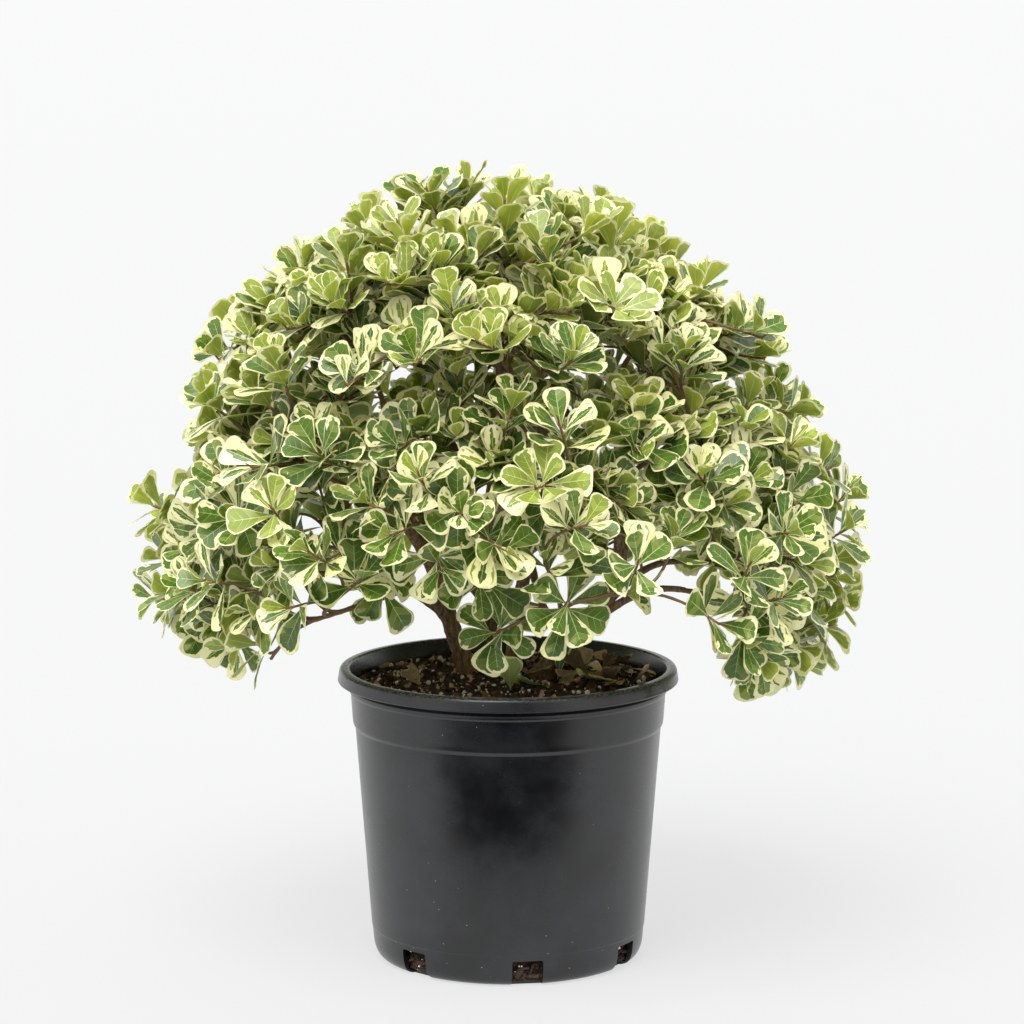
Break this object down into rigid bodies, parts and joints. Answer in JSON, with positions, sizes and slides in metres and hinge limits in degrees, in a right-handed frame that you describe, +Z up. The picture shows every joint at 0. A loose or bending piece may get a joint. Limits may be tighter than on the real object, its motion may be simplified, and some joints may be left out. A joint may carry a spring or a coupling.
{
  "type": "potted variegated triangle fig",
  "caption": "Bushy evergreen shrub with cream-edged triangular leaves on several woody stems, in a round tapered nursery pot with a rolled rim and drain notches.",
  "frame": {"origin": "centre of the pot's flat underside, on the surface that the pot stands on", "axes": "+Z up along the pot's axis; the front of the plant faces -Y; +X is the viewer's right"},
  "size_m": [0.5982, 0.5872, 0.6479],
  "materials": {
    "pot": "black moulded plastic with a soft sheen",
    "soil": "moist potting mix of composted bark with white perlite",
    "bark": "thin grey-brown bark with fine cracks",
    "foliage": "leathery green leaves with cream edges"
  },
  "bodies": {
    "root": {"pot": "pot", "soil": "soil", "stem_left": "bark", "stem_right": "bark", "stem_centre": "bark", "stem_back": "bark", "bough_skirt_1": "bark", "bough_skirt_2": "bark", "bough_skirt_3": "bark", "bough_skirt_4": "bark", "bough_skirt_5": "bark", "bough_skirt_6": "bark", "bough_skirt_7": "bark", "bough_side_1": "bark", "bough_side_2": "bark", "bough_side_3": "bark", "bough_side_4": "bark", "bough_side_5": "bark", "bough_side_6": "bark", "bough_shoulder_4": "bark", "foliage_skirt_1": "foliage", "foliage_skirt_2": "foliage", "foliage_skirt_3": "foliage", "foliage_skirt_4": "foliage", "foliage_skirt_5": "foliage", "foliage_skirt_6": "foliage", "foliage_skirt_7": "foliage", "foliage_side_1": "foliage", "foliage_side_2": "foliage", "foliage_side_3": "foliage", "foliage_side_4": "foliage", "foliage_side_5": "foliage", "foliage_side_6": "foliage", "foliage_shoulder_1": "foliage", "foliage_shoulder_2": "foliage", "foliage_shoulder_3": "foliage", "foliage_shoulder_4": "foliage", "foliage_top": "foliage"}
  },
  "joints": []
}
